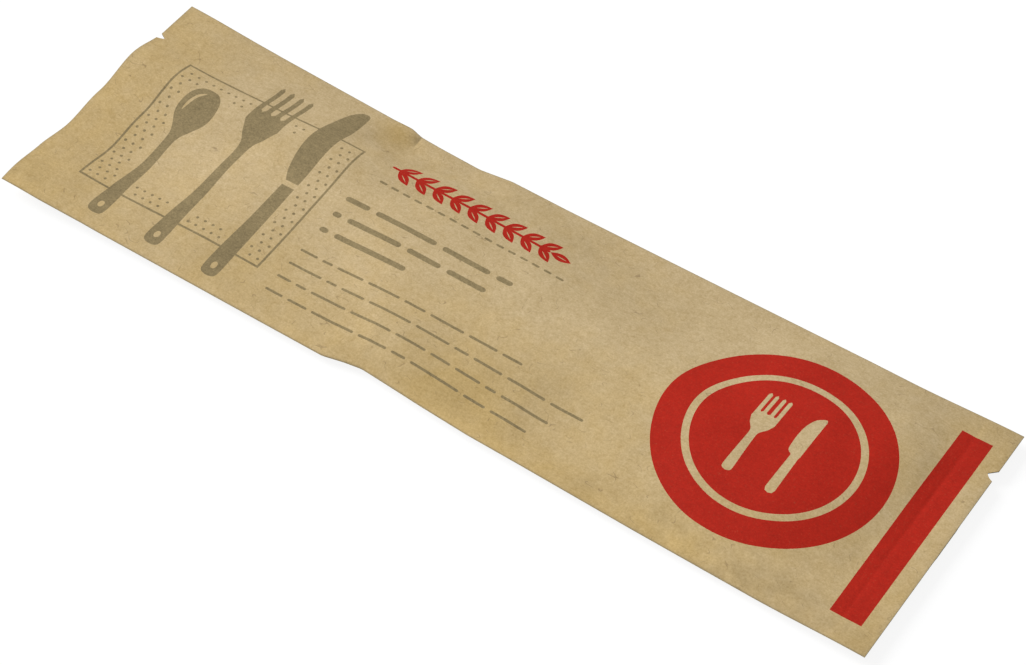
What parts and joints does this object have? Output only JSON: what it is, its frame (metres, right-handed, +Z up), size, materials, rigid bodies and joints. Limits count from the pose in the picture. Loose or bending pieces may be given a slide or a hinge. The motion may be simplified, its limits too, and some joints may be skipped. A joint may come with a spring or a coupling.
{
  "type": "sealed paper cutlery packet",
  "caption": "Flat sealed kraft-paper packet holding metal cutlery and a napkin, with pressed end seals, tear notches and a lengthwise back seam.",
  "frame": {"origin": "on the surface the packet lies on, below the middle of its length and width", "axes": "+X along the packet to the end with the large red print, +Y across it to the long edge nearer the tear notches, +Z up out of the printed face"},
  "size_m": [0.24, 0.0754, 0.0066],
  "materials": {
    "kraft_paper": "matte brown kraft paper, printed in flat red and taupe"
  },
  "bodies": {
    "root": {"sealed_packet": "kraft_paper"}
  },
  "joints": []
}
